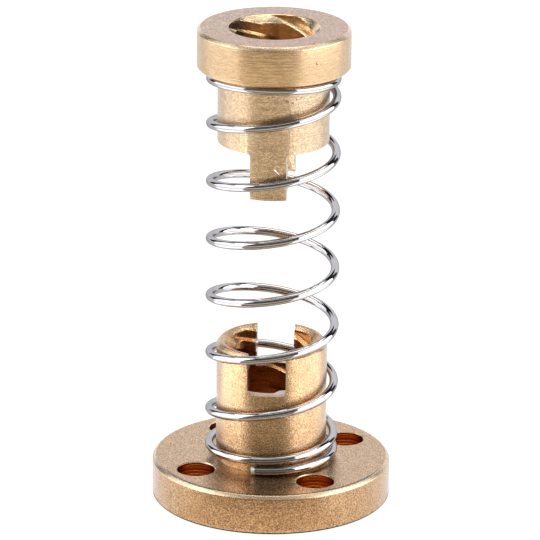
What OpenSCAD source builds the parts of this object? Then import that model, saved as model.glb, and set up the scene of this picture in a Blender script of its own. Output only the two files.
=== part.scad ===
// Spring-loaded anti-backlash nut for an 8 mm four-start lead screw, in millimetres.
// A flanged nut and a follower nut run on one screw. The spring between them pushes their
// threads against opposite flanks, and the follower's two tongues slide in the flanged nut's
// slots, so that neither nut turns without the other.
// The origin is the centre of the flange's mounting face, and +Z runs up the screw.
// The fine thread itself is left out: each bore is cut to the diameter over the thread crests.

/* [Screw bore] */
// Diameter of the bore over the thread crests, alike in both nuts
bore_d = 7; // [6.2:0.1:7.4]
// Diameter of the 45 degree countersink in the flange's mounting face and in the cap
face_mouth_d = 8.4; // [7.6:0.1:9.4]
// Diameter of the 45 degree countersink in the free end of each barrel
barrel_mouth_d = 9; // [7.6:0.1:9.2]

/* [Flange] */
// Outer diameter of the flange
flange_d = 22; // [21:0.5:30]
// Thickness of the flange
flange_t = 3.7; // [2.5:0.1:6]
// Diameter of the circle through the screw holes' centres
hole_circle_d = 16; // [15:0.5:17]
// Number of screw holes
hole_count = 4; // [2:1:6]
// Diameter of each screw hole
hole_d = 3.5; // [2.5:0.1:4]
// Direction of the first screw hole, in degrees from the front
hole_angle = 30.5; // [0:0.5:90]

/* [Barrels] */
// Outer diameter of both nuts' barrels
barrel_d = 10.2; // [10:0.1:11]
// Height of the flanged nut's rim over its mounting face
rim_h = 15; // [13:0.5:18]
// Chamfer round the free end of each barrel
barrel_chamfer = 0.35; // [0.1:0.05:0.35]
// Chamfer round the upper edge of the flange and of the cap
top_chamfer = 0.3; // [0.1:0.05:0.6]
// Chamfer round the lower edge of the flange and of the cap
under_chamfer = 0.15; // [0.05:0.05:0.4]

/* [Slots and tongues] */
// Width of the slot that is milled across the flanged nut's barrel
slot_w = 3.5; // [2.5:0.1:4.5]
// Depth of the slot below the rim
slot_depth = 3.8; // [2.5:0.1:6]
// Play between a tongue and each side wall of its slot
tongue_play = 0.1; // [0.05:0.05:0.3]
// Distance by which each tongue is longer than the slot is deep
tongue_extra = 0.6; // [0.2:0.1:1.5]
// Direction of the slot and of the tongues, in degrees from the front
slot_angle = -5.5; // [-45:0.5:45]

/* [Cap] */
// Outer diameter of the cap on the follower nut
cap_d = 14; // [13.5:0.5:20]
// Thickness of the cap
cap_t = 3.7; // [2:0.1:6]
// Length of the follower nut with its tongues
follower_len = 15; // [12:0.5:18]

/* [Spring] */
// Diameter of the spring wire
wire_d = 0.8; // [0.5:0.1:1]
// Gap between the barrels and the inside of the coils
spring_play = 0.25; // [0.15:0.05:0.4]
// Height of the relaxed spring, from the flange to the underside of the cap
spring_len = 37.5; // [34:0.1:44]
// Number of turns of wire
spring_turns = 8.75; // [6:0.25:10]
// Number of turns that are wound closed at each end
closed_turns = 0.65; // [0.4:0.05:1]
// Number of turns over which the pitch opens from closed to free
opening_turns = 1.2; // [0.8:0.1:1.6]
// Gap between the first turn's end and the turn that passes it
coil_gap = 0.05; // [0.05:0.01:0.2]
// Gap between the wire and the flange or cap that it rests on
seat_gap = 0.05; // [0.02:0.01:0.1]
// Direction of the wire's lower end, in degrees from the front
wire_end_angle = -21; // [-180:1:180]

/* [Part to show] */
// Piece to draw

/* [Hidden] */

BRASS = [0.80, 0.62, 0.38];
STEEL = [0.78, 0.79, 0.80];

// Length by which a cutting tool runs past the surface that it cuts
OVERCUT = 1;
// Depth by which shapes of one piece run into each other
OVERLAP = 1;
ROUND_SIDES = 96;
WIRE_SIDES = 10;
STEPS_PER_TURN = 32;

// Heights, each counted from the mounting face
cap_under_z = flange_t + spring_len;
cap_top_z = cap_under_z + cap_t;
tongue_tip_z = cap_top_z - follower_len;
tongue_len = slot_depth + tongue_extra;
shoulder_z = tongue_tip_z + tongue_len;
slot_floor_z = rim_h - slot_depth;

// Winding of the spring: the centre line's radius and ends, and the pitch of its two kinds of turn
coil_r = barrel_d / 2 + spring_play + wire_d / 2;
wire_low_z = flange_t + seat_gap + wire_d / 2;
wire_rise = spring_len - 2 * seat_gap - wire_d;
closed_pitch = wire_d + coil_gap;
free_turns = spring_turns - 2 * closed_turns - opening_turns;
extra_pitch = (wire_rise - closed_pitch * spring_turns) / free_turns;

// Area under a smooth step from 0 to 1, up to x
function step_area(x) = x <= 0 ? 0 : x < 1 ? pow(x, 3) - pow(x, 4) / 2 : x - 0.5;

// Height of the wire's centre line after t turns: closed, then open, then closed again
function wire_z(t) = wire_low_z + closed_pitch * t + extra_pitch * opening_turns * (
    step_area((t - closed_turns) / opening_turns)
    - step_area((t - spring_turns + closed_turns + opening_turns) / opening_turns));

// One square-on section of the wire after t turns, tilted to the slope of the coil there
function wire_ring(t) = let (
    turn_part = 0.5 / STEPS_PER_TURN,
    slope = atan2(wire_z(t + turn_part) - wire_z(t - turn_part), 2 * PI * coil_r * 2 * turn_part),
    direction = wire_end_angle + 360 * t
) [for (side = [0:WIRE_SIDES - 1]) let (
    around = 360 * side / WIRE_SIDES,
    r = coil_r + wire_d / 2 * cos(around),
    lift = wire_d / 2 * sin(around),
    back = -lift * sin(slope)
) [
    r * sin(direction) + back * cos(direction),
    -r * cos(direction) + back * sin(direction),
    wire_z(t) + lift * cos(slope)
]];

// A disc standing on z = 0 with a chamfer on its lower and its upper edge
module chamfered_disc(d, h, low_chamfer, high_chamfer) {
    rotate_extrude($fn = ROUND_SIDES)
        polygon([
            [0, 0],
            [d / 2 - low_chamfer, 0],
            [d / 2, low_chamfer],
            [d / 2, h - high_chamfer],
            [d / 2 - high_chamfer, h],
            [0, h]
        ]);
}

// A bore on the screw axis, with a 45 degree countersink at its lower and its upper mouth
module screw_bore(low_z, low_mouth_d, high_z, high_mouth_d) {
    translate([0, 0, low_z - OVERCUT])
        cylinder(d = bore_d, h = high_z - low_z + 2 * OVERCUT, $fn = ROUND_SIDES);
    translate([0, 0, low_z])
        countersink(low_mouth_d);
    translate([0, 0, high_z])
        mirror([0, 0, 1])
            countersink(high_mouth_d);
}

// The cone that opens a bore's mouth on z = 0 and narrows upwards to the bore
module countersink(mouth_d) {
    translate([0, 0, -OVERCUT])
        cylinder(d1 = mouth_d + 2 * OVERCUT, d2 = bore_d, h = (mouth_d - bore_d) / 2 + OVERCUT,
                 $fn = ROUND_SIDES);
}

// A straight bar across the screw axis, in the direction of the slot
module cross_bar(width, low_z, high_z) {
    rotate([0, 0, slot_angle])
        translate([-width / 2, -flange_d / 2, low_z])
            cube([width, flange_d, high_z - low_z]);
}

// The nut that is screwed to the moving part: a drilled flange and a slotted barrel
module flanged_nut() {
    color(BRASS)
        difference() {
            union() {
                chamfered_disc(flange_d, flange_t, under_chamfer, top_chamfer);
                chamfered_disc(barrel_d, rim_h, 0, barrel_chamfer);
            }
            screw_bore(0, face_mouth_d, rim_h, barrel_mouth_d);
            cross_bar(slot_w, slot_floor_z, rim_h + OVERCUT);
            for (hole = [0:hole_count - 1])
                rotate([0, 0, hole_angle + hole * 360 / hole_count])
                    translate([0, -hole_circle_d / 2, -OVERCUT])
                        cylinder(d = hole_d, h = flange_t + 2 * OVERCUT, $fn = ROUND_SIDES);
        }
}

// The compression spring round both barrels, from the flange up to the cap
module spring() {
    rings = ceil(spring_turns * STEPS_PER_TURN);
    points = [for (ring = [0:rings]) each wire_ring(spring_turns * ring / rings)];
    skin = [for (ring = [0:rings - 1], side = [0:WIRE_SIDES - 1]) let (
        here = ring * WIRE_SIDES,
        next_side = (side + 1) % WIRE_SIDES
    ) each [
        [here + side, here + next_side, here + WIRE_SIDES + side],
        [here + next_side, here + WIRE_SIDES + next_side, here + WIRE_SIDES + side]
    ]];
    low_end = [for (side = [WIRE_SIDES - 1:-1:0]) side];
    high_end = [for (side = [0:WIRE_SIDES - 1]) rings * WIRE_SIDES + side];
    color(STEEL)
        polyhedron(points, concat(skin, [low_end, high_end]));
}

// The nut that the spring pushes away: a cap to seat the spring, a barrel and two tongues
module follower_nut() {
    color(BRASS)
        difference() {
            union() {
                translate([0, 0, cap_under_z])
                    chamfered_disc(cap_d, cap_t, under_chamfer, top_chamfer);
                translate([0, 0, shoulder_z])
                    cylinder(d = barrel_d, h = cap_under_z - shoulder_z + OVERLAP, $fn = ROUND_SIDES);
                intersection() {
                    translate([0, 0, tongue_tip_z])
                        chamfered_disc(barrel_d, tongue_len + OVERLAP, barrel_chamfer, 0);
                    cross_bar(slot_w - 2 * tongue_play, tongue_tip_z, shoulder_z + OVERLAP);
                }
            }
            screw_bore(tongue_tip_z, barrel_mouth_d, cap_top_z, face_mouth_d);
        }
}

flanged_nut();
spring();
follower_nut();
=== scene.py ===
"""Looks of a spring-loaded anti-backlash nut for an 8 mm four-start lead screw.

A flanged nut and a follower nut run on one screw, and the coil spring between them keeps
their threads pressed against opposite flanks. Each of the three is built by a class that
holds its sizes in metres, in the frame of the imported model, with +Z up the screw.
"""

from __future__ import annotations

import logging
import math
from abc import ABC, abstractmethod
from collections import Counter
from collections.abc import Callable, Iterator, Mapping, Sequence
from contextlib import contextmanager
from dataclasses import dataclass, replace
from enum import Enum, IntEnum
from functools import cache, partialmethod

import bmesh
import bpy
import numpy as np
from bpy.types import Material, Mesh, Node, NodeSocket, NodeTree, Object, World
from mathutils import Matrix, Vector


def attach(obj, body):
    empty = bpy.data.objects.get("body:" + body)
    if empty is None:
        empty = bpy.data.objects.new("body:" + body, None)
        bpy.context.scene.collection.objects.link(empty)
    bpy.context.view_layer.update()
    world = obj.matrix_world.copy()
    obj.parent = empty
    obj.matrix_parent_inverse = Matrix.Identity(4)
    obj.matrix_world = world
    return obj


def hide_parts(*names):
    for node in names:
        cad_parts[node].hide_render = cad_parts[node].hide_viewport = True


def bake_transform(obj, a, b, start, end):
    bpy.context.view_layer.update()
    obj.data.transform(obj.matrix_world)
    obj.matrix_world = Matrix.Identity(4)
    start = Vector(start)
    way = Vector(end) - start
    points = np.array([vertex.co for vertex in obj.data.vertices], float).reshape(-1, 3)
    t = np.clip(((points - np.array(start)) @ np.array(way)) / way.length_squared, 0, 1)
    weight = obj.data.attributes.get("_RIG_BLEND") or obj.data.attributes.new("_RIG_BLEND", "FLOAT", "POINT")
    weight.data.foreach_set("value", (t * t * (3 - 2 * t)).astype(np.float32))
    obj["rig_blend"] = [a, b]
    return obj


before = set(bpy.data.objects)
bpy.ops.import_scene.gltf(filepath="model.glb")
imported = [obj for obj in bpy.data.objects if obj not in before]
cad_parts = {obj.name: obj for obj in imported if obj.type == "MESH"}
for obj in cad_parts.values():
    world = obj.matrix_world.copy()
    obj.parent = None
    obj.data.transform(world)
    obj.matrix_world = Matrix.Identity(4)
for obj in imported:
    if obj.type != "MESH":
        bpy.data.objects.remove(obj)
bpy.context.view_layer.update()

log = logging.getLogger("lead_screw_nut")
MM = 0.001
TOUCH = 0.001 * MM
FACING = 0.9
SLANTED = 0.2
WHITE = (1.0, 1.0, 1.0)
Colour = tuple[float, float, float]
Point = tuple[float, float]
Feeds = Mapping[str | int, object]
NO_FEEDS: Feeds = {}


class Zone(IntEnum):
    """The surfaces of a nut that have a finish of their own; the value is the finish's slot."""

    TURNED = 0
    FACED = 1
    THREAD = 2
    MILLED = 3
    OUTER = 4
    DRILLED = 5
    BURR = 6
    EDGE = 7


class Side(Enum):
    """The two bodies that move against each other."""

    FLANGE = "flange_side"
    FOLLOWER = "follower_side"


# ---- node trees


@dataclass(frozen=True)
class Flow:
    """An output on its way through a node tree, so that a rule can be written as a formula."""

    bench: NodeBench
    plug: NodeSocket

    def _maths(self, rule: str, other: Flow | float) -> Flow:
        """Works out one number from this one and another."""
        return self.bench.maths(rule, self, other)

    __add__ = partialmethod(_maths, "ADD")
    __sub__ = partialmethod(_maths, "SUBTRACT")
    __mul__ = partialmethod(_maths, "MULTIPLY")
    __truediv__ = partialmethod(_maths, "DIVIDE")


Number = Flow | float


@dataclass
class NodeBench:
    """A node tree that is put together one node at a time."""

    tree: NodeTree

    def connect(self, socket: NodeSocket, value: object) -> None:
        """Feeds an input.

        Args:
            socket: The input.
            value: A flow, a list of flows, or a plain value.
        """
        for one in value if isinstance(value, list) else [value]:
            if isinstance(one, Flow):
                self.tree.links.new(one.plug, socket)
            else:
                socket.default_value = one

    def node(self, kind: str, feeds: Feeds = NO_FEEDS, **settings: object) -> Node:
        """Adds a node.

        Args:
            kind: The node's type.
            feeds: What goes into its inputs, by name or place.
            **settings: The node's own options.

        Returns:
            The new node.
        """
        made = self.tree.nodes.new(kind)
        for name, value in settings.items():
            setattr(made, name, value)
        for name, value in feeds.items():
            self.connect(made.inputs[name], value)
        return made

    def flow(
        self, kind: str, feeds: Feeds = NO_FEEDS, output: str | int = 0, **settings: object
    ) -> Flow:
        """Adds a node, and gives the output that is asked for."""
        return Flow(self, self.node(kind, feeds, **settings).outputs[output])

    def maths(self, rule: str, *values: Number) -> Flow:
        """Works out one number from others, by the operation's name."""
        return self.flow("ShaderNodeMath", dict(enumerate(values)), operation=rule)

    def held(self, value: Flow) -> Flow:
        """Holds a number between 0 and 1."""
        return self.maths("MINIMUM", self.maths("MAXIMUM", value, 0.0), 1.0)

    def point(self, x: Number, y: Number, z: Number) -> Flow:
        """Joins three numbers into a place or a turn."""
        return self.flow("ShaderNodeCombineXYZ", {0: x, 1: y, 2: z})

    def ranged(
        self, value: Flow, start: Number, end: Number, low: Number = 0.0, high: Number = 1.0
    ) -> Flow:
        """Maps what lies between start and end to between low and high."""
        feeds = {"Value": value, "From Min": start, "From Max": end, "To Min": low, "To Max": high}
        return self.flow("ShaderNodeMapRange", feeds)

    def cloud(self, spot: Flow, size: float, layers: float, rough: float) -> Flow:
        """Light and dark spots of one size, with finer layers of a given strength."""
        feeds = {"Vector": spot, "Scale": 1.0 / size, "Detail": layers, "Roughness": rough}
        return self.flow("ShaderNodeTexNoise", feeds)

    def mixed(self, share: Flow, first: Flow | Colour, second: Flow | Colour) -> Flow:
        """Mixes two colours, by the share that the second has."""
        ends = [(*one, 1.0) if isinstance(one, tuple) else one for one in (first, second)]
        return self.flow("ShaderNodeMix", {0: share, 6: ends[0], 7: ends[1]}, 2, data_type="RGBA")

    def glow(self, colour: Colour, strength: float, kind: str = "ShaderNodeEmission") -> Flow:
        """A shader that gives off light by itself."""
        return self.flow(kind, {"Color": (*colour, 1.0), "Strength": strength})


class ShapeTree(NodeBench):
    """A Geometry Nodes tree with named inputs for its sizes."""

    def __init__(self, name: str) -> None:
        """Starts a tree with a blank going in and a part coming out.

        Args:
            name: The tree's name.
        """
        super().__init__(bpy.data.node_groups.new(name, "GeometryNodeTree"))
        for socket, way in (("Blank", "INPUT"), ("Part", "OUTPUT")):
            self.tree.interface.new_socket(socket, in_out=way, socket_type="NodeSocketGeometry")
        self.entry = self.node("NodeGroupInput")
        self.values: dict[str, object] = {}

    def size(self, name: str, value: float | int | Material) -> Flow:
        """Adds a named input.

        Args:
            name: The input's name.
            value: What the modifier gives it.

        Returns:
            The input, as a flow.
        """
        kind = "NodeSocket" + {int: "Int", float: "Float"}.get(type(value), "Material")
        made = self.tree.interface.new_socket(name, in_out="INPUT", socket_type=kind)
        self.values[made.identifier] = value
        return Flow(self, self.entry.outputs[name])

    def sizes(self, owner: object, *names: str) -> Iterator[Flow]:
        """Adds an input for each named size of an object, under the size's own name."""
        return (self.size(name, getattr(owner, name)) for name in names)

    def index(self) -> Flow:
        """The number of each point in its row, from 0."""
        return self.flow("GeometryNodeInputIndex")

    def row(self, count: Flow) -> Flow:
        """A row of points that are still to be put in their places."""
        return self.flow("GeometryNodeMeshLine", {"Count": count, "Offset": (0.0, 0.0, MM)})

    def placed(self, shape: Flow, place: Flow) -> Flow:
        """Puts each point of a shape in its place."""
        return self.flow("GeometryNodeSetPosition", {"Geometry": shape, "Position": place})

    def around(self, turn: Flow, radius: Number, height: Number) -> Flow:
        """The place at a turn from the front, a radius and a height."""
        across, ahead = (self.maths(rule, turn) * radius for rule in ("SINE", "COSINE"))
        return self.point(across, ahead * -1.0, height)

    def swept(self, points: Flow, section: Flow) -> Flow:
        """Sweeps a section along a row of points, and closes the ends.

        Args:
            points: The row, already in place.
            section: The closed curve that is swept, with its x away from the axis.

        Returns:
            The swept solid.
        """
        path = self.flow("GeometryNodeMeshToCurve", {"Mesh": points})
        upright = self.flow("GeometryNodeSetCurveNormal", {"Curve": path}, mode="Z_UP")
        feeds = {"Curve": upright, "Profile Curve": section, "Fill Caps": True}
        return self.flow("GeometryNodeCurveToMesh", feeds)

    def ring_of(
        self,
        piece: Flow,
        count: Flow,
        radius: Number = 0.0,
        first_turn: Number = 0.0,
        height: Number = 0.0,
    ) -> Flow:
        """Repeats a piece evenly round the axis, each one turned to face outwards.

        Args:
            piece: What is repeated.
            count: How many there are.
            radius: How far from the axis they stand.
            first_turn: The first one's turn from the front, in radians.
            height: How high they stand.

        Returns:
            The pieces as real geometry.
        """
        turn = self.index() * math.tau / count + first_turn
        points = self.placed(self.row(count), self.around(turn, radius, height))
        feeds = {"Points": points, "Instance": piece, "Rotation": self.point(0.0, 0.0, turn)}
        spread = self.flow("GeometryNodeInstanceOnPoints", feeds)
        return self.flow("GeometryNodeRealizeInstances", {"Geometry": spread})

    def finish(self, part: Flow, finish: Material) -> None:
        """Ends the tree with real geometry and its finish.

        Args:
            part: The part's geometry.
            finish: The finish it gets.
        """
        real = self.flow("GeometryNodeRealizeInstances", {"Geometry": part})
        feeds = {"Geometry": real, "Material": self.size("Finish", finish)}
        self.node("NodeGroupOutput", {0: self.flow("GeometryNodeSetMaterial", feeds)})

    def cut(self, tools: list[Flow], finish: Material) -> None:
        """Ends the tree with the tools cut out of the blank.

        Args:
            tools: The solids that cut it.
            finish: The finish that the part gets.
        """
        feeds = {"Mesh 1": Flow(self, self.entry.outputs["Blank"]), "Mesh 2": tools}
        settings = {"operation": "DIFFERENCE", "solver": "MANIFOLD"}
        self.finish(self.flow("GeometryNodeMeshBoolean", feeds, **settings), finish)

    def grow(self, host: Object) -> None:
        """Runs the tree on an object, and leaves it with the result as a plain mesh.

        Args:
            host: The object, whose mesh is the blank.
        """
        modifier = host.modifiers.new("shape", "NODES")
        modifier.node_group = self.tree
        for identifier, value in self.values.items():
            modifier[identifier] = value
        settle(host)


def shaded(owner: Material | World, shader: Callable[[NodeBench], Flow]) -> Material | World:
    """Gives a material or a world its shader.

    Args:
        owner: The material or the world.
        shader: Builds the shader in an empty node tree.

    Returns:
        The same material or world.
    """
    owner.use_nodes = True
    owner.node_tree.nodes.clear()
    bench = NodeBench(owner.node_tree)
    kind = "World" if isinstance(owner, World) else "Material"
    bench.node(f"ShaderNodeOutput{kind}", {0: shader(bench)})
    return owner


# ---- meshes


def settle(host: Object) -> None:
    """Turns an object's modifiers into plain mesh, and removes them.

    Args:
        host: The object.
    """
    bpy.context.view_layer.update()
    graph = bpy.context.evaluated_depsgraph_get()
    mesh = bpy.data.meshes.new_from_object(
        host.evaluated_get(graph), preserve_all_data_layers=True, depsgraph=graph
    )
    host.modifiers.clear()
    mesh.name = host.name
    host.data = mesh


def standing(name: str, data: bpy.types.ID) -> Object:
    """Puts a mesh, a light or a camera in the scene, at the origin.

    Args:
        name: The object's name.
        data: What the object shows.

    Returns:
        The object.
    """
    made = bpy.data.objects.new(name, data)
    bpy.context.scene.collection.objects.link(made)
    return made


def faceted(
    name: str, corners: Sequence[Sequence[float]], faces: Sequence[Sequence[int]]
) -> Object:
    """Makes an object from its corners and faces.

    Args:
        name: The object's name.
        corners: Each corner's place.
        faces: Each face's corners, as numbers.

    Returns:
        The object.
    """
    mesh = bpy.data.meshes.new(name)
    mesh.from_pydata(corners, [], faces)
    return standing(name, mesh)


def around(turn: float, radius: float, height: float) -> tuple[float, float, float]:
    """The place at a turn from the front, a radius and a height."""
    return (radius * math.sin(turn), -radius * math.cos(turn), height)


@contextmanager
def opened(mesh: Mesh, turn: Matrix | None = None) -> Iterator[bmesh.types.BMesh]:
    """Opens a mesh for editing, and puts the result back.

    Args:
        mesh: The mesh.
        turn: How the result is turned, after its faces have been turned outward.

    Yields:
        The open shape.
    """
    shape = bmesh.new()
    shape.from_mesh(mesh)
    yield shape
    if turn:
        bmesh.ops.recalc_face_normals(shape, faces=shape.faces)
        shape.transform(turn)
    shape.to_mesh(mesh)
    shape.free()


def softened(profile: Sequence[Point], reach: float, steps: int = 4) -> list[Point]:
    """Rounds the corners of a closed profile a little, as tumbling does.

    Args:
        profile: The corners in order.
        reach: How far from a corner its rounding starts.
        steps: How many points each corner becomes.

    Returns:
        The rounded profile.
    """
    rounded: list[Point] = []
    for place, corner in enumerate(profile):
        here = Vector(corner)
        back = Vector(profile[place - 1]) - here
        ahead = Vector(profile[(place + 1) % len(profile)]) - here
        cut = min(reach, 0.35 * back.length, 0.35 * ahead.length)
        start = here + back.normalized() * cut
        end = here + ahead.normalized() * cut
        for step in range(steps):
            share = step / (steps - 1)
            bend = start * (1 - share) ** 2 + here * (2 * share * (1 - share)) + end * share**2
            rounded.append((bend.x, bend.y))
    return rounded


def turned(name: str, profile: Sequence[Point], sides: int) -> Object:
    """Turns a closed profile round the screw's axis, as on a lathe.

    Args:
        name: The object's name.
        profile: Radius and height of each corner, outwards along the bottom first.
        sides: How many steps make a full turn.

    Returns:
        The turned ring.
    """
    count = len(profile)
    corners = [
        around(math.tau * step / sides, *corner) for step in range(sides) for corner in profile
    ]
    faces = []
    for step in range(sides):
        here, there = step * count, (step + 1) % sides * count
        for edge in range(count):
            after = (edge + 1) % count
            faces.append((here + edge, there + edge, there + after, here + after))
    return faceted(name, corners, faces)


def prism(name: str, outline: Sequence[Point], half: float, turn: Matrix) -> Object:
    """A straight bar with the given outline, for cutting.

    Args:
        name: The object's name.
        outline: The bar's section as x and z, anticlockwise as seen from the front.
        half: How far it reaches to the front and to the back.
        turn: How the finished bar is turned.

    Returns:
        The bar.
    """
    count = len(outline)
    corners = [(x, y, z) for y in (-half, half) for x, z in outline]
    faces = [tuple(range(count)), tuple(range(2 * count - 1, count - 1, -1))]
    for place in range(count):
        after = (place + 1) % count
        faces.append((place, count + place, count + after, after))
    bar = faceted(name, corners, faces)
    with opened(bar.data, turn):
        return bar


def carve(body: Object, tools: Sequence[Object], rule: str) -> None:
    """Cuts each tool out of a body, or joins it on, and throws the tools away.

    Args:
        body: The piece that is cut.
        tools: The solids that cut it.
        rule: The boolean operation.
    """
    for tool in tools:
        cut = body.modifiers.new("cut", "BOOLEAN")
        cut.operation = rule
        cut.solver = "MANIFOLD"
        cut.object = tool
    settle(body)
    for tool in tools:
        bpy.data.objects.remove(tool)


def seal(mesh: Mesh) -> None:
    """Splits a closed mesh into triangles, and drops the flat slivers that this lays bare.

    Args:
        mesh: The mesh.
    """
    with opened(mesh) as shape:
        bmesh.ops.triangulate(shape, faces=shape.faces)
        corners = Counter(frozenset(face.verts) for face in shape.faces)
        doubled = [face for face in shape.faces if corners[frozenset(face.verts)] > 1]
        bmesh.ops.delete(shape, geom=doubled, context="FACES")
        flaps = [face for face in shape.faces if any(edge.is_boundary for edge in face.edges)]
        bmesh.ops.delete(shape, geom=flaps, context="FACES")


def ease(body: Object, chosen: Callable[[Vector], bool], width: float) -> None:
    """Breaks the sharp outer edges whose two ends are both chosen.

    Args:
        body: The piece.
        chosen: Says of a corner whether it lies on a freshly cut face.
        width: How wide the broken edge is.
    """
    flat, sharp = math.radians(0.4), math.radians(35)
    with opened(body.data) as shape:
        bmesh.ops.dissolve_limit(shape, angle_limit=flat, verts=shape.verts, edges=shape.edges)
        weight = shape.edges.layers.float.new("bevel_weight_edge")
        for edge in shape.edges:
            bent = len(edge.link_faces) == 2 and edge.calc_face_angle(0.0) > sharp
            if bent and edge.is_convex and all(chosen(corner.co) for corner in edge.verts):
                edge[weight] = 1.0
    bevel = body.modifiers.new("ease", "BEVEL")
    bevel.limit_method = "WEIGHT"
    bevel.width = width
    bevel.segments = 2
    settle(body)


def report(piece: Object, side: str) -> None:
    """Logs a finished piece, and what it rides on."""
    log.info("%s: %d faces, on %s", piece.name, len(piece.data.polygons), side)


# ---- finishes


@dataclass(frozen=True)
class MetalFinish(ABC):
    """A finish of bare metal, whose looks follow the place on the piece."""

    name: str

    @abstractmethod
    def look(self, bench: NodeBench, spot: Flow) -> Feeds:
        """What goes into the shader, for each place on the piece."""

    def metal(self, bench: NodeBench) -> Flow:
        """The shader of the metal."""
        feeds = self.look(bench, bench.flow("ShaderNodeTexCoord", output="Object"))
        return bench.flow("ShaderNodeBsdfPrincipled", {"Metallic": 1.0, **feeds})

    @cache
    def material(self) -> Material:
        """The finish as a material, which is built once."""
        return shaded(bpy.data.materials.new(self.name), self.metal)


@dataclass(frozen=True)
class BrassFinish(MetalFinish):
    """Tumbled brass: a fine grain of small dents over broad, faint patches of tarnish."""

    bright: Colour = (0.96, 0.625, 0.28)
    dull: Colour = (0.40, 0.225, 0.08)
    patch: Colour = (0.70, 0.43, 0.19)
    pit: Colour = (0.28, 0.15, 0.055)
    tint: Colour = WHITE
    pitting: float = 0.35
    film: float = 1.8
    roughness: float = 0.26
    sheen: float = 1.0
    sheen_roughness: float = 0.33
    grain: float = 0.13 * MM
    brushed: float = 1.0
    dent: float = 0.010 * MM
    pit_size: float = 0.115 * MM
    mottle: float = 0.75 * MM
    patch_size: float = 5.5 * MM
    mark_pitch: float = 0.09 * MM
    mark_depth: float = 0.010 * MM
    mark_reach: float = 1.0
    # The next two give a painted shadow line: a dark ring on flat faces at this radius (none at 0), and its
    # colour.
    shadow_line_r: float = 0.0
    shadow_line_colour: Colour = (0.01, 0.005, 0.002)

    def look(self, bench: NodeBench, spot: Flow) -> Feeds:
        """What goes into the shader, for each place on the piece.

        Args:
            bench: The tree that it goes into.
            spot: The place on the piece.

        Returns:
            The shader's inputs.
        """
        drawn_out = (1 / self.brushed, 1 / self.brushed, 1.0)
        drawn = bench.flow("ShaderNodeMapping", {"Vector": spot, "Scale": drawn_out})
        grain = bench.cloud(drawn, self.grain, 2.0, 0.62)
        mottle = bench.cloud(spot, self.mottle, 3.0, 0.6)
        share = bench.ranged(grain, 0.40, 0.60) * 0.7 + bench.ranged(mottle, 0.3, 0.66) * 0.3
        bump = self._bump(bench, spot, grain * 0.75 + mottle * 0.25)
        rough = self.roughness
        return {
            "Base Color": self._colour(bench, spot, share),
            "Roughness": bench.ranged(share, 0.0, 1.0, rough + 0.07, rough - 0.05),
            "Normal": bump,
            "Coat Weight": self.sheen,
            "Coat Roughness": self.sheen_roughness,
            "Coat IOR": self.film,
            "Coat Normal": bump,
        }

    def _colour(self, bench: NodeBench, spot: Flow, share: Flow) -> Flow:
        """The grain's colour, with tarnish, pits and perhaps a painted shadow line on it.

        Args:
            bench: The tree that it goes into.
            spot: The place on the piece.
            share: How bright the grain is, from 0 to 1.

        Returns:
            The colour.
        """
        bright, dull, patch, pit = (
            tuple(part * tint for part, tint in zip(colour, self.tint))
            for colour in (self.bright, self.dull, self.patch, self.pit)
        )
        tarnish = bench.cloud(spot, self.patch_size, 2.0, 0.5)
        pits = bench.cloud(spot, self.pit_size, 1.0, 0.5)
        colour = bench.mixed(share, dull, bright)
        colour = bench.mixed(bench.ranged(tarnish, 0.42, 0.7, 0.0, 0.45), colour, patch)
        colour = bench.mixed(bench.ranged(pits, 0.50, 0.60, 0.0, self.pitting), colour, pit)
        # The painted shadow line near the flat face's outer edge.
        if self.shadow_line_r > 0:
            colour = bench.mixed(self._painted_shadow_line(bench, spot), colour, self.shadow_line_colour)
        return colour

    def _bump(self, bench: NodeBench, spot: Flow, relief: Flow) -> Flow:
        """Small dents, with fine turning marks round the axis on top.

        Args:
            bench: The tree that they go into.
            spot: The place on the piece.
            relief: The dents' height, from 0 to 1.

        Returns:
            The bumpy surface's direction.
        """
        feeds = {"Height": relief, "Strength": 0.6, "Distance": self.dent * 4}
        dented = bench.flow("ShaderNodeBump", feeds)
        reach, _, height = self._split(bench, spot)
        along = (reach * self.mark_reach + height) / self.mark_pitch
        feeds = {"W": along, "Scale": 1.0, "Detail": 1.0, "Roughness": 0.5}
        marks = bench.flow("ShaderNodeTexNoise", feeds, noise_dimensions="1D")
        feeds = {"Height": marks, "Strength": 1.0, "Distance": self.mark_depth, "Normal": dented}
        return bench.flow("ShaderNodeBump", feeds)

    def _painted_shadow_line(self, bench: NodeBench, spot: Flow) -> Flow:
        """A painted shadow line: an uneven dark ring on a flat face, widest and darkest at the front, and
        gone at the back.

        Args:
            bench: The tree that it goes into.
            spot: The place on the piece.

        Returns:
            Its strength, from 0 to 1.
        """
        reach, back, _ = self._split(bench, spot)
        wave = bench.cloud(spot, 0.7 * MM, 3.0, 0.7) - 0.5
        off = bench.maths("ABSOLUTE", reach - self.shadow_line_r + wave * (0.25 * MM))
        front = bench.ranged(back, -9 * MM, -3 * MM, 1.0, 0.0)
        width = front * (0.16 * MM) + 0.06 * MM
        strength = bench.maths("MINIMUM", front * 3.0, 1.0)
        return bench.ranged(off, width * 0.5, width, strength, 0.0)

    @staticmethod
    def _split(bench: NodeBench, spot: Flow) -> tuple[Flow, Flow, Flow]:
        """Splits a place into its reach from the axis, its y and its height.

        Args:
            bench: The tree that it goes into.
            spot: The place on the piece.

        Returns:
            The three numbers.
        """
        parts = bench.node("ShaderNodeSeparateXYZ", {0: spot}).outputs
        x, y, z = (Flow(bench, part) for part in parts)
        feeds = {0: bench.point(x, y, 0.0)}
        return bench.flow("ShaderNodeVectorMath", feeds, 1, operation="LENGTH"), y, z


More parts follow.
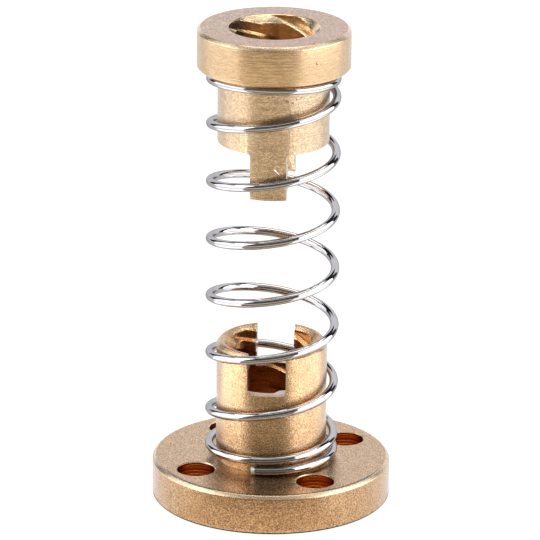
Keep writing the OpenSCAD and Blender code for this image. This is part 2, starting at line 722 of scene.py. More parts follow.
@dataclass(frozen=True)
class WireFinish(MetalFinish):
    """Bright drawn spring wire: smooth, with faint cloudy marks and a few finer ones."""

    bright: Colour = (0.66, 0.635, 0.63)
    dull: Colour = (0.47, 0.45, 0.445)
    edge: float = 0.6
    roughness: float = 0.05
    blotch: float = 0.9 * MM
    mark: float = 0.12 * MM
    mark_depth: float = 0.004 * MM

    def look(self, bench: NodeBench, spot: Flow) -> Feeds:
        """What goes into the shader, for each place on the piece.

        Args:
            bench: The tree that it goes into.
            spot: The place on the piece.

        Returns:
            The shader's inputs.
        """
        fine = bench.cloud(spot, self.mark, 2.0, 0.6)
        share = bench.cloud(spot, self.blotch, 3.0, 0.6) * 0.6 + fine * 0.4
        bumps = {"Height": fine, "Strength": 0.15, "Distance": self.mark_depth}
        rough = self.roughness
        return {
            "Base Color": bench.mixed(share, self.dull, self.bright),
            "Roughness": bench.ranged(share, 0.35, 0.65, rough + 0.05, rough - 0.02),
            "Specular Tint": (self.edge, self.edge, self.edge, 1.0),
            "Normal": bench.flow("ShaderNodeBump", bumps),
        }


BRASS = {
    Zone.TURNED: BrassFinish("brass_tumbled"),
    Zone.OUTER: BrassFinish("brass_outer"),
    Zone.FACED: BrassFinish(
        "brass_faced", (0.92, 0.56, 0.23), (0.28, 0.15, 0.055), (0.60, 0.35, 0.13),
        (0.10, 0.05, 0.02), roughness=0.24, grain=0.16 * MM,
    ),
    # Thread: a paler copy of the brass, which is painted light falling into the bore's mouth.
    Zone.THREAD: BrassFinish(
        "brass_threaded_painted_light_and_shade", (0.98, 0.77, 0.51), (0.70, 0.48, 0.27), (0.86, 0.62, 0.36),
        roughness=0.16, dent=0.004 * MM, sheen=0.3,
    ),
    Zone.MILLED: BrassFinish(
        "brass_milled", (0.80, 0.60, 0.44), (0.50, 0.33, 0.20),
        roughness=0.30, grain=0.26 * MM, dent=0.016 * MM,
    ),
    # Screw holes' walls: a darker, redder copy of the brass, which is painted shade inside the holes.
    Zone.DRILLED: BrassFinish(
        "brass_drilled_painted_shade", (0.62, 0.23, 0.05), (0.40, 0.13, 0.022), (0.50, 0.16, 0.03),
        pitting=0.1, roughness=0.2, dent=0.003 * MM, sheen=0.0,
        mark_pitch=0.3 * MM, mark_depth=0.08 * MM, mark_reach=0.0,
    ),
    Zone.EDGE: BrassFinish(
        "brass_edged", (0.88, 0.69, 0.47), (0.50, 0.33, 0.18), (0.70, 0.50, 0.31),
        pitting=0.2, film=1.4, roughness=0.28, dent=0.006 * MM,
    ),
    Zone.BURR: BrassFinish(
        "brass_burred", (0.98, 0.86, 0.68), (0.20, 0.10, 0.04), (0.60, 0.42, 0.26),
        pitting=0.9, pit_size=0.3 * MM, grain=0.2 * MM, dent=0.03 * MM,
    ),
}


# ---- the two nuts


@dataclass(frozen=True)
class NutThread:
    """A right-hand trapezoidal nut thread with several starts, cut into a plain bore."""

    crest_r: float = 3.5 * MM
    root_r: float = 4.15 * MM
    lead: float = 8.0 * MM
    starts: int = 4
    groove_w: float = 0.73 * MM
    flank: float = math.radians(15)
    groove_turn: float = math.radians(168.5)
    spill: float = 0.35 * MM
    run_out: float = 1.5 * MM
    steps_per_turn: int = 72

    def cutter(self, tree: ShapeTree, low: float, high: float, level: float) -> Flow:
        """Adds the solid that cuts the grooves.

        Args:
            tree: The nut's tree.
            low: The height of the nut's lower end.
            high: The height of its upper end.
            level: The height at which a groove passes the thread's turn from the front.

        Returns:
            The cutter's geometry.
        """
        low, high = low - self.run_out, high + self.run_out
        names = ("crest_r", "root_r", "lead", "starts", "groove_w", "groove_turn")
        crest, root, lead, starts, groove, turn = tree.sizes(self, *names)
        bottom, top = tree.size("thread low end", low), tree.size("thread high end", high)
        passed = tree.size("groove level", level)
        count = int((high - low) / self.lead * self.steps_per_turn) + 2
        steps = tree.size("thread steps", count)
        height = bottom + (top - bottom) * tree.index() / (steps - 1.0)
        angle = turn + (height - passed) * math.tau / lead
        path = tree.placed(tree.row(steps), tree.around(angle, root, height))
        inside = root - crest + self.spill
        half_root = groove * 0.5
        half_mouth = half_root + inside * math.tan(self.flank)
        corners = {
            "Point 1": tree.point(0.0, half_root * -1.0, 0.0),
            "Point 2": tree.point(0.0, half_root, 0.0),
            "Point 3": tree.point(inside * -1.0, half_mouth, 0.0),
            "Point 4": tree.point(inside * -1.0, half_mouth * -1.0, 0.0),
        }
        section = tree.flow("GeometryNodeCurvePrimitiveQuadrilateral", corners, mode="POINTS")
        return tree.ring_of(tree.swept(path, section), starts)


@dataclass(frozen=True)
class Nick:
    """A small scratch, or a burr that stands up, which handling left in an outer wall.

    It is in a wall of radius wall_r. Its turn from the front and its tilt are in degrees.
    """

    wall_r: float
    turn: float
    height: float
    length: float
    width: float
    tilt: float = 0.0
    depth: float = 0.06 * MM
    raised: bool = False

    def tool(self) -> Object:
        """The sliver that is cut out of the wall, or added to it.

        Returns:
            The sliver, with a keel along its middle and pointed ends.
        """
        half, side, way = self.length / 2, self.width / 2, 1.0 if self.raised else -1.0
        rim = [(-half, 0.0), (-half / 2, -side), (half / 2, -side), (half, 0.0)]
        rim += [(half / 2, side), (-half / 2, side)]
        layers = (
            (rim, self.wall_r - way * 0.3 * MM),
            (rim, self.wall_r - way * 0.02 * MM),
            ([(-half / 2, 0.0), (half / 2, 0.0)], self.wall_r + way * self.depth),
        )
        lean_x, lean_z = math.cos(math.radians(self.tilt)), math.sin(math.radians(self.tilt))
        mesh = bpy.data.meshes.new("nick")
        with opened(mesh, Matrix.Rotation(math.radians(self.turn), 4, "Z")) as shape:
            for outline, reach in layers:
                for along, across in outline:
                    x = along * lean_x - across * lean_z
                    z = self.height + along * lean_z + across * lean_x
                    shape.verts.new((x, -reach, z))
            bmesh.ops.convex_hull(shape, input=shape.verts)
        return standing("nick", mesh)

    def marks(self, centre: np.ndarray) -> np.ndarray:
        """Says which faces belong to it.

        Args:
            centre: Each face's centre.

        Returns:
            True for each such face.
        """
        offset = centre - np.array(around(math.radians(self.turn), self.wall_r, self.height))
        off_wall = np.abs(np.hypot(centre[:, 0], centre[:, 1]) - self.wall_r) > 0.006 * MM
        return off_wall & (np.sqrt((offset**2).sum(axis=1)) < self.length / 2 + 0.05 * MM)


@dataclass
class Nut(ABC):
    """What the flanged nut and the follower nut have in common.

    From its face, at the disc's outer end, a nut runs up if its way is 1, and down if it is
    -1. So do the milled cuts, from floor_z on, with walls wall_x to either side.
    """

    node: str = ""
    side: Side = Side.FLANGE
    batch: str = ""
    way: int = 1
    face_z: float = 0.0
    floor_z: float = 0.0
    length: float = 15.0 * MM
    disc_r: float = 7.0 * MM
    disc_t: float = 3.7 * MM
    thread: NutThread = NutThread()
    groove_z: float = 0.0
    barrel_r: float = 5.1 * MM
    bore_r: float = 3.5 * MM
    face_mouth_r: float = 4.2 * MM
    barrel_mouth_r: float = 4.5 * MM
    barrel_chamfer: float = 0.35 * MM
    top_chamfer: float = 0.3 * MM
    under_chamfer: float = 0.15 * MM
    slot_w: float = 3.5 * MM
    wall_x: float = slot_w / 2
    slot_turn: float = math.radians(-5.5)
    tumbled: float = 0.05 * MM
    edge: float = 0.06 * MM
    clear: float = 1.0 * MM
    sides: int = 256
    nicks: tuple[Nick, ...] = ()

    @abstractmethod
    def mills(self) -> list[list[Point]]:
        """The outlines of the bars that are milled out of the turned nut."""

    @property
    def end_z(self) -> float:
        """The height of the barrel's free end."""
        return self.face_z + self.way * self.length

    def profile(self) -> list[Point]:
        """The nut's section, from its face along the outside.

        Returns:
            Radius and height of each corner.
        """
        face, inner = (self.under_chamfer, self.top_chamfer)[:: self.way]
        section = [
            (self.face_mouth_r, 0.0),
            (self.disc_r - face, 0.0),
            (self.disc_r, face),
            (self.disc_r, self.disc_t - inner),
            (self.disc_r - inner, self.disc_t),
            (self.barrel_r, self.disc_t),
            (self.barrel_r, self.length - self.barrel_chamfer),
            (self.barrel_r - self.barrel_chamfer, self.length),
            (self.barrel_mouth_r, self.length),
            (self.bore_r, self.length - (self.barrel_mouth_r - self.bore_r)),
            (self.bore_r, self.face_mouth_r - self.bore_r),
        ]
        return [(radius, self.face_z + self.way * far) for radius, far in section[:: self.way]]

    def cuts(self, tree: ShapeTree) -> list[Flow]:
        """The solids that the last cuts take out, in the nut's tree: the thread's grooves."""
        low, high = sorted((self.face_z, self.end_z))
        return [self.thread.cutter(tree, low, high, self.groove_z)]

    def squared(self) -> Matrix:
        """The turn that brings the slots to the front."""
        return Matrix.Rotation(self.slot_turn, 4, "Z")

    def on_cut(self, corner: Vector) -> bool:
        """Says whether a corner lies on a wall or on the floor of a milled cut.

        Args:
            corner: The corner.

        Returns:
            True if it does.
        """
        local = self.squared().inverted() @ corner
        off_wall = (abs(local.x) - self.wall_x) * self.way
        off_floor = (local.z - self.floor_z) * self.way
        beside = abs(off_wall) < TOUCH and off_floor > -TOUCH
        return beside or (abs(off_floor) < TOUCH and off_wall < TOUCH)

    def build(self, changes: Mapping[Zone, Mapping[str, object]]) -> Object:
        """Turns, mills, marks, threads and dresses the nut, and mounts it in its place.

        Args:
            changes: What this nut's finishes have of their own, zone by zone.

        Returns:
            The finished piece.
        """
        finishes = {
            zone: replace(finish, name=f"{self.batch}_{finish.name}", **changes.get(zone, {}))
            for zone, finish in BRASS.items()
        }
        piece = turned(f"{self.node}_body", softened(self.profile(), self.tumbled), self.sides)
        reach, turn = self.barrel_r + self.clear, self.squared()
        bars = [prism("milled_bar", outline, reach, turn) for outline in self.mills()]
        carve(piece, bars, "DIFFERENCE")
        ease(piece, self.on_cut, self.edge)
        for nick in self.nicks:
            carve(piece, [nick.tool()], "UNION" if nick.raised else "DIFFERENCE")
        tree = ShapeTree(f"{self.node}_cuts")
        tree.cut(self.cuts(tree), finishes[Zone.TURNED].material())
        tree.grow(piece)
        self.dress(piece, finishes)
        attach(piece, self.side.value)
        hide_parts(self.node)
        report(piece, self.side.value)
        return piece

    def dress(self, piece: Object, finishes: Mapping[Zone, BrassFinish]) -> None:
        """Gives each kind of surface its finish, and smooths what is round.

        Args:
            piece: The nut.
            finishes: The finish of each zone.
        """
        mesh = piece.data
        mesh.materials.clear()
        for zone in Zone:
            mesh.materials.append(finishes[zone].material())
        centre, normal = np.zeros((2, len(mesh.polygons) * 3))
        mesh.polygons.foreach_get("center", centre)
        mesh.polygons.foreach_get("normal", normal)
        zones = self.zones(centre.reshape(-1, 3), normal.reshape(-1, 3))
        mesh.polygons.foreach_set("material_index", zones.astype(np.int32))
        seal(mesh)
        mesh.shade_smooth()
        mesh.set_sharp_from_angle(angle=math.radians(28))
        level = piece.modifiers.new("level", "WEIGHTED_NORMAL")
        level.keep_sharp = True
        level.weight = 80
        settle(piece)

    def zones(self, centre: np.ndarray, normal: np.ndarray) -> np.ndarray:
        """Sorts faces into zones.

        Args:
            centre: Each face's centre.
            normal: Each face's outward direction.

        Returns:
            Each face's zone, as the number of its finish.
        """
        sideways = np.array(self.squared().inverted().to_3x3()).T[:, 0]
        across, square = np.abs(centre @ sideways), np.abs(normal @ sideways)
        reach = np.hypot(centre[:, 0], centre[:, 1])
        up = normal[:, 2]
        outer = reach > self.barrel_r + 0.5 * MM
        zones = np.full(len(centre), Zone.TURNED)
        zones[outer] = Zone.OUTER
        zones[np.abs(up) > FACING] = Zone.FACED
        zones[outer & (up > 0.3) & (up < 0.985)] = Zone.EDGE
        zones[reach < self.thread.root_r + 0.03 * MM] = Zone.THREAD
        zones[np.abs(up) > 0.99] = Zone.FACED
        wall = np.abs(across - self.slot_w / 2) < 0.12 * MM
        height = (centre[:, 2] - self.floor_z) * self.way
        floor = (np.abs(height) < 0.05 * MM) & (up * self.way > FACING)
        level = height > -0.1 * MM
        zones[level & ((wall & (square > FACING)) | floor)] = Zone.MILLED
        zones[level & wall & (square > SLANTED) & (square < FACING)] = Zone.BURR
        for nick in self.nicks:
            zones[nick.marks(centre)] = Zone.BURR
        return zones


@dataclass
class FlangedNut(Nut):
    """The nut that is screwed down: a drilled flange and a barrel with two open slots."""

    node: str = "flanged_nut"
    batch: str = "flanged"
    groove_z: float = 45.24 * MM
    disc_r: float = 11.0 * MM
    slot_depth: float = 3.8 * MM
    floor_z: float = Nut.length - slot_depth
    hole_circle_r: float = 8.0 * MM
    hole_r: float = 1.75 * MM
    hole_count: int = 4
    hole_turn: float = math.radians(30.5)
    hole_bevel: float = 0.09 * MM
    hole_sides: int = 64

    def mills(self) -> list[list[Point]]:
        """The outline of the bar that cuts both slots."""
        half, floor, top = self.wall_x, self.floor_z, self.end_z + self.clear
        return [[(-half, floor), (half, floor), (half, top), (-half, top)]]

    def cuts(self, tree: ShapeTree) -> list[Flow]:
        """The thread's grooves, the screw holes and their bevels.

        Args:
            tree: The nut's tree.

        Returns:
            The three sets of solids.
        """
        grooves = super().cuts(tree)
        names = ("disc_t", "hole_count", "hole_circle_r", "hole_r", "hole_turn", "hole_bevel")
        thickness, count, circle, radius, turn, bevel = tree.sizes(self, *names)
        drill = {"Vertices": self.hole_sides, "Radius": radius, "Depth": thickness + 2 * MM}
        spill = 0.2 * MM
        sink = {
            "Vertices": self.hole_sides,
            "Radius Bottom": radius,
            "Radius Top": radius + bevel + spill,
            "Depth": bevel + spill,
        }
        hole = tree.flow("GeometryNodeMeshCylinder", drill)
        mouth = tree.flow("GeometryNodeMeshCone", sink)
        holes = tree.ring_of(hole, count, circle, turn, thickness * 0.5)
        mouths = tree.ring_of(mouth, count, circle, turn, thickness - bevel)
        return [*grooves, holes, mouths]

    def zones(self, centre: np.ndarray, normal: np.ndarray) -> np.ndarray:
        """Sorts faces into zones, with the screw holes' walls as one more.

        Args:
            centre: Each face's centre.
            normal: Each face's outward direction.

        Returns:
            Each face's zone, as the number of its finish.
        """
        zones = super().zones(centre, normal)
        up = normal[:, 2]
        # The holes' walls get the darker finish that paints shade inside them.
        for number in range(self.hole_count):
            turn = self.hole_turn + math.tau * number / self.hole_count
            hole = np.array(around(turn, self.hole_circle_r, 0.0)[:2])
            near = np.hypot(*(centre[:, :2] - hole).T) < self.hole_r + 0.01 * MM
            zones[near & (np.abs(up) < SLANTED)] = Zone.DRILLED
        sill = np.abs(centre[:, 2] - self.floor_z) < 0.08 * MM
        zones[sill & (up > SLANTED) & (up < FACING)] = Zone.BURR
        return zones


@dataclass
class FollowerNut(Nut):
    """The nut that the spring pushes: a cap, a barrel, and two tongues for the slots."""

    node: str = "follower_nut"
    side: Side = Side.FOLLOWER
    batch: str = "follower"
    way: int = -1
    floor_z: float = 34.3 * MM
    tongue_play: float = 0.1 * MM
    wall_x: float = Nut.slot_w / 2 - tongue_play
    groove_z: float = 44.9 * MM
    face_z: float = 44.9 * MM
    flare: float = 0.25 * MM
    flare_steps: int = 5
    nicks: tuple[Nick, ...] = (
        Nick(Nut.disc_r, 33, 43.15 * MM, 0.34 * MM, 0.16 * MM, -50),
        Nick(Nut.disc_r, 36.5, 43.0 * MM, 0.20 * MM, 0.14 * MM),
        Nick(Nut.disc_r, -38, 42.4 * MM, 0.20 * MM, 0.10 * MM, 20),
        Nick(Nut.barrel_r, 3.2, 32.75 * MM, 1.0 * MM, 0.2 * MM, -47, 0.1 * MM, True),
        Nick(Nut.barrel_r, 14, 39.35 * MM, 0.5 * MM, 0.14 * MM, -30, raised=True),
        Nick(Nut.barrel_r, 19, 39.15 * MM, 0.36 * MM, 0.12 * MM, 25),
        Nick(Nut.barrel_r, 24, 39.45 * MM, 0.30 * MM, 0.14 * MM, -60, raised=True),
        Nick(Nut.barrel_r, 29, 39.6 * MM, 0.26 * MM, 0.12 * MM),
        Nick(Nut.barrel_r, -5, 39.75 * MM, 0.20 * MM, 0.16 * MM),
        Nick(Nut.barrel_r, -36, 40.0 * MM, 0.75 * MM, 0.06 * MM, -48, 0.03 * MM),
        Nick(Nut.barrel_r, -30, 39.9 * MM, 0.75 * MM, 0.06 * MM, -50, 0.03 * MM),
    )

    def mills(self) -> list[list[Point]]:
        """The two blocks that leave the tongues standing, with a rounded inner corner each.

        Returns:
            The left block's outline and the right one's.
        """
        far, low, top = self.barrel_r + self.clear, self.end_z - self.clear, self.floor_z
        right = [(self.wall_x, low), (far, low), (far, top)]
        for step in range(self.flare_steps, -1, -1):
            turn = math.radians(90 * step / self.flare_steps)
            x = self.wall_x + self.flare * (1 - math.cos(turn))
            right.append((x, top - self.flare * (1 - math.sin(turn))))
        return [[(-x, z) for x, z in right[::-1]], right]


# ---- the spring


@dataclass
class CoilSpring:
    """The spring between the nuts: open coils that run into a closed turn at each end."""

    name: str = "spring_coil"
    node: str = "spring"
    wire_r: float = 0.4 * MM
    coil_r: float = 5.75 * MM
    seat_z: float = 3.7 * MM
    length: float = 37.5 * MM
    seat_gap: float = 0.05 * MM
    turns: float = 8.75
    closed_turns: float = 0.65
    opening_turns: float = 1.2
    closed_pitch: float = 0.85 * MM
    end_turn: float = math.radians(-18.7)
    end_slant: float = math.radians(16)
    slanted_rings: int = 4
    lean_front: float = 0.45 * MM
    lean_left: float = 0.25 * MM
    lean_start: float = 7.15
    lean_turns: float = 0.85
    rings_per_turn: int = 96
    wire_sides: int = 20
    finish: WireFinish = WireFinish("bright_wire")
    # The cut ends: rougher than the wire, and paler, which is a painted highlight.
    cut_end_highlight_finish: WireFinish = WireFinish(
        "cut_wire_painted_highlight", bright=(0.96, 0.93, 0.87), dull=(0.84, 0.80, 0.72), edge=1.0, roughness=0.45
    )

    @property
    def low_z(self) -> float:
        """The height of the wire's centre at its lower end."""
        return self.seat_z + self.seat_gap + self.wire_r

    @property
    def rise(self) -> float:
        """How far the wire climbs from end to end."""
        return self.length - 2 * (self.seat_gap + self.wire_r)

    def tree(self) -> ShapeTree:
        """The tree that winds the wire.

        Returns:
            The tree, which also stores how much of the open pitch each ring has passed.
        """
        tree = ShapeTree("wound_wire")
        names = ("turns", "closed_turns", "opening_turns", "closed_pitch", "rise", "low_z")
        turns, closed, opening, pitch, rise, low = tree.sizes(self, *names)
        names = ("coil_r", "wire_r", "end_turn", "lean_front", "lean_left", "lean_start")
        radius, wire, start, to_front, to_left, upright = tree.sizes(self, *names)
        rings = tree.size("rings", int(self.turns * self.rings_per_turn) + 1)
        turn = turns * tree.index() / (rings - 1.0)
        first = self.pitch_passed(tree, (turn - closed) / opening)
        last = self.pitch_passed(tree, (turn - turns + closed + opening) / opening)
        share = opening * (first - last) / (turns - closed * 2.0 - opening)
        level = low + pitch * turn + (rise - pitch * turns) * share
        angle = start + turn * math.tau
        lean = tree.maths("COSINE", angle) * to_front - tree.maths("SINE", angle) * to_left
        part = tree.held((turn - upright) / self.lean_turns)
        height = level + lean * (part * part * (part * -2.0 + 3.0))
        seated = tree.maths("MINIMUM", height, low + rise)
        points = tree.placed(tree.row(rings), tree.around(angle, radius, seated))
        marked = tree.flow(
            "GeometryNodeStoreNamedAttribute",
            {"Geometry": points, "Name": "open_share", "Value": share},
            data_type="FLOAT",
            domain="POINT",
        )
        feeds = {"Resolution": self.wire_sides, "Radius": wire}
        section = tree.flow("GeometryNodeCurvePrimitiveCircle", feeds)
        tree.finish(tree.swept(marked, section), self.finish.material())
        return tree

    @staticmethod
    def pitch_passed(tree: ShapeTree, stage: Flow) -> Flow:
        """The sum of a pitch that opens smoothly from 0 to 1 while the stage goes from 0 to 1.

        Args:
            tree: The spring's tree.
            stage: How far the opening has gone.

        Returns:
            The pitch passed so far.
        """
        part = tree.held(stage)
        cube = part * part * part
        return cube - cube * part * 0.5 + tree.maths("MAXIMUM", stage - 1.0, 0.0)

    def cut_ends(self, mesh: Mesh) -> None:
        """Slants the two ends, as the cutter left them, and gives them a rougher finish, whose pale colour
        is a painted highlight.

        Args:
            mesh: The wound wire, ring after ring.
        """
        corners = np.zeros(len(mesh.vertices) * 3)
        mesh.vertices.foreach_get("co", corners)
        corners = corners.reshape(-1, 3)
        last = len(corners) // self.wire_sides - 1
        for ring in range(self.slanted_rings):
            slant = math.tan(self.end_slant) * (1 - ring / self.slanted_rings)
            for place, way in ((ring, 1.0), (last - ring, -1.0)):
                rows = slice(place * self.wire_sides, (place + 1) * self.wire_sides)
                spot = corners[rows]
                reach = np.hypot(spot[:, 0], spot[:, 1])
                along = np.column_stack((-spot[:, 1], spot[:, 0])) / reach[:, None]
                corners[rows, :2] += along * (way * slant * (reach - self.coil_r))[:, None]
        mesh.vertices.foreach_set("co", corners.ravel())
        mesh.materials.append(self.cut_end_highlight_finish.material())
        for face in mesh.polygons:
            first, end = min(face.vertices), max(face.vertices)
            if end < 2 * self.wire_sides or first >= (last - 1) * self.wire_sides:
                face.material_index = 1
        mesh.update()

    def build(self) -> Object:
        """Winds the spring, and lets it close evenly as the nuts come together.

        Returns:
            The finished piece.
        """
        piece = standing(self.name, bpy.data.meshes.new(self.name))
        self.tree().grow(piece)
        mesh = piece.data
        self.cut_ends(mesh)
        mesh.shade_smooth()
        mesh.set_sharp_from_angle(angle=math.radians(50))
        share = np.zeros(len(mesh.vertices), np.float32)
        mesh.attributes["open_share"].data.foreach_get("value", share)
        mesh.attributes.remove(mesh.attributes["open_share"])
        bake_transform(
            piece,
            Side.FLANGE.value,
            Side.FOLLOWER.value,
            start=(0.0, 0.0, self.low_z),
            end=(0.0, 0.0, self.low_z + self.rise),
        )
        mesh.attributes["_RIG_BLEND"].data.foreach_set("value", np.clip(share, 0.0, 1.0))
        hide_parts(self.node)
        report(piece, "both sides")
        return piece


# ---- the studio

COOL = (0.96, 1.02, 1.12)
AMBER = (1.0, 0.86, 0.6)
WALL_R = 0.40
TABLE_Z = 0.3 * MM


@dataclass(frozen=True)
class Card:
    """A grey or white card curved round the object, which only reflections show.

    Its two turns are from the front, in degrees, and its two rims are radius and height.
    """

    name: str
    turns: tuple[float, float]
    near_rim: Point
    far_rim: Point
    glow: float
    tint: Colour = WHITE
    strips: int = 12

    @classmethod
    def wall(
        cls, name: str, turns: Point, low: float, high: float, glow: float, tint: Colour = WHITE
    ) -> Card:
        """A card that stands upright round the object, between two heights."""
        return cls(name, turns, (WALL_R, low), (WALL_R, high), glow, tint)

    @classmethod
    def table(
        cls, name: str, turns: Point, near: float, far: float, glow: float, tint: Colour = WHITE
    ) -> Card:
        """A card that lies on the floor, between two radii."""
        return cls(name, turns, (near, TABLE_Z), (far, TABLE_Z), glow, tint)

    def stand(self) -> None:
        """Puts the card where only reflections show it."""
        first, last = (math.radians(turn) for turn in self.turns)
        corners = []
        for strip in range(self.strips + 1):
            turn = first + (last - first) * strip / self.strips
            corners += [around(turn, *self.near_rim), around(turn, *self.far_rim)]
        faces = [(at, at + 1, at + 3, at + 2) for at in range(0, 2 * self.strips, 2)]
        material = bpy.data.materials.new(self.name)
        stand = faceted(self.name, corners, faces)
        stand.data.materials.append(
            shaded(material, lambda bench: bench.glow(self.tint, self.glow))
        )
        for ray in ("camera", "diffuse", "transmission", "shadow"):
            setattr(stand, f"visible_{ray}", False)


@dataclass(frozen=True)
class Lamp:
    """A soft lamp that points at the object."""

    name: str
    place: tuple[float, float, float]
    size: float
    power: float

    def hang(self) -> None:
        """Hangs the lamp in its place, and points it."""
        light = bpy.data.lights.new(self.name, "AREA")
        light.shape = "SQUARE"
        light.size = self.size
        light.energy = self.power
        stand = standing(self.name, light)
        stand.location = self.place
        aim = Vector((0, 0, 20 * MM)) - Vector(self.place)
        stand.rotation_euler = aim.to_track_quat("-Z", "Y").to_euler()


FRONT, TABLE_FRONT = (-52, 41), (-52, 37)
LEFT, RIGHT = (-122, -52), (41, 117)
TABLE_LEFT, TABLE_RIGHT, TABLE_BACK = (244, 308), (37, 116), (116, 244)


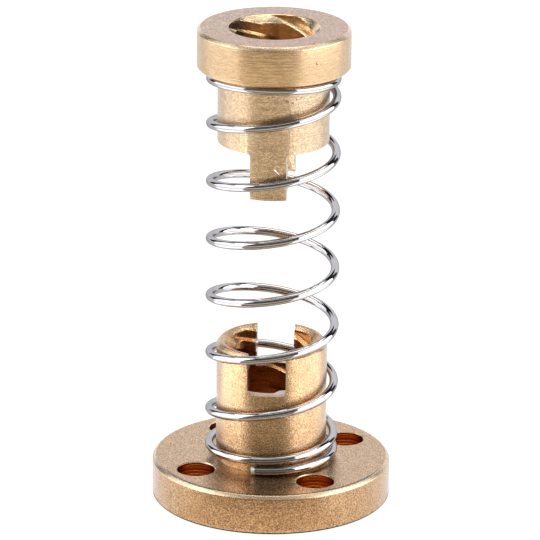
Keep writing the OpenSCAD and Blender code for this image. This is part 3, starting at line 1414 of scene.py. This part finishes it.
@dataclass
class Studio:
    """A pale floor under a white surround, soft lamps, cards, and the camera."""

    target: tuple[float, float, float] = (-0.217 * MM, 0.0, 21.72 * MM)
    distance: float = 440.77 * MM
    elevation: float = math.radians(18.921)
    roll: float = math.radians(0.446)
    film_width: float = 36.0
    frame_width: float = 540.0
    focus: float = 4806.0
    floor_size: float = 3.0
    floor_drop: float = 0.02 * MM
    lamps: tuple[Lamp, ...] = (
        Lamp("left_lamp", (-0.42, -0.10, 0.26), 0.36, 1.5),
        Lamp("right_lamp", (0.42, -0.12, 0.24), 0.36, 2.0),
        Lamp("top_lamp", (0.02, 0.12, 0.55), 0.45, 1.6),
    )
    cards: tuple[Card, ...] = (
        Card.wall("low_front", FRONT, 0.0, 0.125, 0.006),
        Card.wall("mid_front", FRONT, 0.125, 0.195, 0.36),
        Card.wall("high_front", FRONT, 0.195, 0.45, 0.006),
        Card.wall("left_softbox", LEFT, 0.0, 0.31, 1.9, COOL),
        Card.wall("left_top_softbox", LEFT, 0.31, 0.62, 1.0),
        Card.wall("right_softbox", RIGHT, 0.0, 0.31, 2.9, COOL),
        Card.wall("right_top_softbox", RIGHT, 0.31, 0.62, 1.1),
        Card.wall("right_gap", (117, 135), 0.0, 0.33, 0.03),
        Card.wall("backdrop_card", (135, 217), 0.0, 0.33, 1.1, (0.97, 0.98, 1.05)),
        Card.wall("left_gap", (217, 238), 0.04, 0.33, 0.03),
        Card.wall("upper_gap", (117, 238), 0.33, 0.56, 0.02),
        Card("ceiling_card", (0, 360), (WALL_R, 0.64), (0.01, 0.64), 0.1),
        Card.table("right_floor_card", TABLE_RIGHT, 0.075, WALL_R, 1.15),
        Card.table("back_floor_card", TABLE_BACK, 0.075, WALL_R, 0.85),
        Card.table("left_floor_card", TABLE_LEFT, 0.075, WALL_R, 1.15),
        # Reflection-only floor cards close round the part; the bright right and left ones are painted pools
        # of lamp light on the floor.
        Card.table("right_table_card", TABLE_RIGHT, 0.026, 0.075, 2.05),
        Card.table("back_table_card", TABLE_BACK, 0.026, 0.075, 0.95),
        Card.table("left_table_card", TABLE_LEFT, 0.026, 0.075, 2.4),
        Card.table("close_table_card", (37, 308), 0.0112, 0.026, 1.1),
        Card.table("front_table_card", TABLE_FRONT, 0.075, WALL_R, 0.9, (1.0, 0.92, 0.8)),
        # Dim amber reflection-only cards in front: painted shadow on the floor round the flange.
        Card.table("near_table_card", TABLE_FRONT, 0.034, 0.075, 0.42, AMBER),
        Card.table("shade_card", TABLE_FRONT, 0.019, 0.034, 0.2, AMBER),
        # A dark reflection-only ring under the flange's edge: painted contact shadow.
        Card("contact_shadow_card", (0, 360), (0.0101, -0.00001), (0.0112, -0.00001), 0.03, strips=48),
        Card.table("rim_table_card", TABLE_FRONT, 0.0112, 0.019, 0.97, (1.0, 0.93, 0.86)),
    )

    def build(self) -> None:
        """Sets up everything round the object."""
        self._surround()
        for lamp in self.lamps:
            lamp.hang()
        for card in self.cards:
            card.stand()
        self._camera()

    @staticmethod
    def _parted(bench: NodeBench, lit: Flow, seen: Flow) -> Flow:
        """Mixes what lights the object with what the camera and reflections see directly.

        Args:
            bench: The tree that it goes into.
            lit: The shader that lights the object.
            seen: The shader that is seen.

        Returns:
            The mixed shader.
        """
        path = bench.node("ShaderNodeLightPath").outputs
        direct = Flow(bench, path["Is Camera Ray"])
        for kind in ("Glossy", "Transmission"):
            direct = bench.maths("MAXIMUM", direct, Flow(bench, path[f"Is {kind} Ray"]))
        return bench.flow("ShaderNodeMixShader", {0: direct, 1: lit, 2: seen})

    def _sky(self, bench: NodeBench) -> Flow:
        """The shader of the surround, which lights the object softly."""
        soft = bench.glow((0.95, 0.97, 1.0), 0.55, "ShaderNodeBackground")
        return self._parted(bench, soft, bench.glow(WHITE, 1.0, "ShaderNodeBackground"))

    def _ground(self, bench: NodeBench) -> Flow:
        """The shader of the floor, which goes white to the camera but keeps a shadow.

        Args:
            bench: The floor's node tree.

        Returns:
            The shader.
        """
        matt, faint = (
            bench.flow("ShaderNodeBsdfDiffuse", {"Color": (grey, grey, grey, 1.0)})
            for grey in (0.82, 0.2)
        )
        white = bench.flow("ShaderNodeAddShader", {0: faint, 1: bench.glow(WHITE, 0.88)})
        return self._parted(bench, matt, white)

    def _surround(self) -> None:
        """Puts the surround and the floor in the scene."""
        bpy.context.scene.world = shaded(bpy.data.worlds.new("surround"), self._sky)
        half = self.floor_size / 2
        square = ((-half, -half), (half, -half), (half, half), (-half, half))
        floor = faceted("floor", [(x, y, -self.floor_drop) for x, y in square], [(0, 1, 2, 3)])
        floor.data.materials.append(shaded(bpy.data.materials.new("pale_floor"), self._ground))

    def _camera(self) -> None:
        """Puts the camera in front, a little above the object."""
        back = Vector((0, -math.cos(self.elevation), math.sin(self.elevation)))
        right = Vector((1, 0, 0))
        up = back.cross(right)
        side = right * math.cos(self.roll) + up * math.sin(self.roll)
        top = up * math.cos(self.roll) - right * math.sin(self.roll)
        camera = standing("camera", bpy.data.cameras.new("camera"))
        camera.data.sensor_width = self.film_width
        camera.data.lens = self.focus / self.frame_width * self.film_width
        camera.data.clip_start = 10 * MM
        place = Matrix((side, top, back)).transposed().to_4x4()
        place.translation = Vector(self.target) + back * self.distance
        camera.matrix_world = place
        bpy.context.scene.camera = camera


def main() -> None:
    """Builds the nuts, the spring and the studio."""
    logging.basicConfig(level=logging.INFO, format="%(message)s")
    FlangedNut().build(
        {
            Zone.TURNED: {"tint": (1.04, 0.97, 0.91), "pitting": 0.8, "film": 2.0},
            # A darker, redder thread: painted shade deep in the flanged nut's bore.
            Zone.THREAD: {"tint": (0.77, 0.575, 0.365), "pitting": 0.5},
            Zone.OUTER: {"tint": (0.91, 0.83, 0.80), "pitting": 1.0, "film": 1.6},
            # The flanged nut's face gets a painted shadow line 10.6 mm from the axis.
            Zone.FACED: {"pitting": 0.8, "film": 1.3, "shadow_line_r": 10.6 * MM},
        }
    )
    upper_barrel = {"pitting": 0.5, "film": 2.3, "dent": 0.008 * MM, "brushed": 2.2}
    cap_face = {"pitting": 0.7, "film": 1.3, "dent": 0.008 * MM}
    cap_edge = {"pitting": 0.05, "dull": (0.62, 0.38, 0.155), "dent": 0.005 * MM, "brushed": 5.0}
    FollowerNut().build(
        {
            Zone.TURNED: {"tint": (1.01, 1.06, 1.18), **upper_barrel},
            Zone.THREAD: {"pitting": 0.3},
            Zone.OUTER: {"tint": (0.86, 0.87, 0.94), **cap_edge},
            Zone.FACED: {"tint": (0.86, 0.81, 0.92), **cap_face},
        }
    )
    CoilSpring().build()
    Studio().build()
    bpy.context.scene.view_settings.view_transform = "Standard"


if __name__ == "__main__":
    main()
